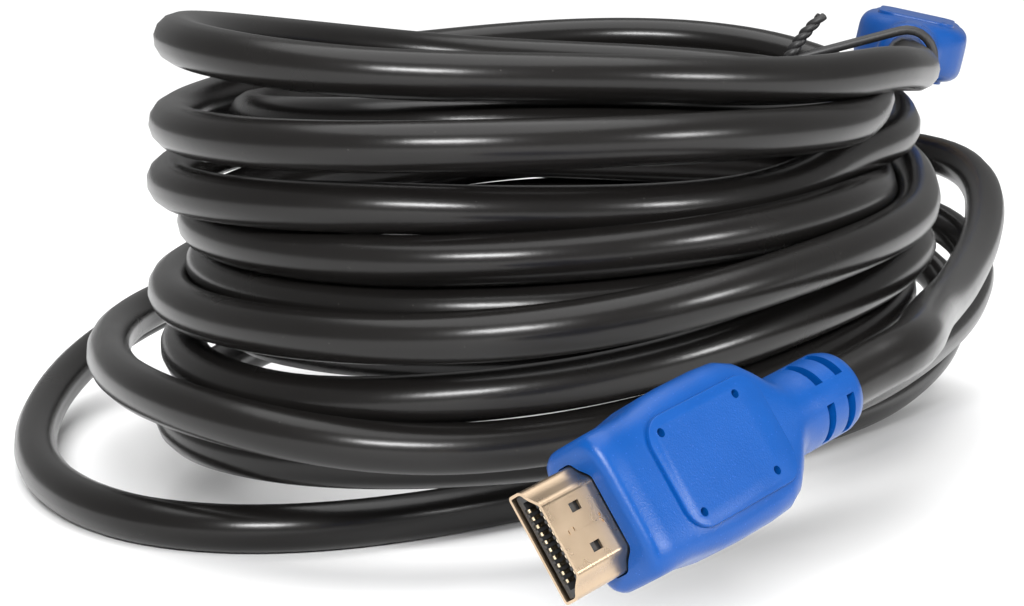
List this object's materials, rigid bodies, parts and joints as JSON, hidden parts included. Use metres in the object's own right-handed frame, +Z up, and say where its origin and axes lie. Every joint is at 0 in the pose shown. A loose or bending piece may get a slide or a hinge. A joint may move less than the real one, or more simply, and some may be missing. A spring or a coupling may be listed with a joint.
{
  "type": "hdmi cable",
  "caption": "Round black audio and video cable wound into a tall loose coil, with moulded blue plugs and pale gold metal shells, a loop on the floor and a thin tie.",
  "frame": {"origin": "on the floor, under the middle of the whole object's box", "axes": "+Z up, -Y towards the side where the front plug sticks out of the coil, +X to the right seen from there"},
  "size_m": [0.1842, 0.2416, 0.0785],
  "materials": {
    "jacket": "gloss",
    "housing": "satin",
    "shell": "satin",
    "insulator": "satin",
    "contacts": "polished",
    "tie": "satin"
  },
  "bodies": {
    "root": {"cable_coil": "jacket", "front_lead_and_floor_loop": "jacket", "right_loop_low": "jacket", "right_loop_high": "jacket", "left_loop": "jacket", "top_turn": "jacket", "second_turn": "jacket", "twist_tie": "tie", "front_plug_housing": "housing", "front_plug_shell": "shell", "front_plug_insulator": "insulator", "front_plug_contacts_wide_row": "contacts", "front_plug_contacts_narrow_row": "contacts", "rear_plug_housing": "housing", "rear_plug_shell": "shell", "rear_plug_insulator": "insulator", "rear_plug_contacts_wide_row": "contacts", "rear_plug_contacts_narrow_row": "contacts"}
  },
  "joints": []
}
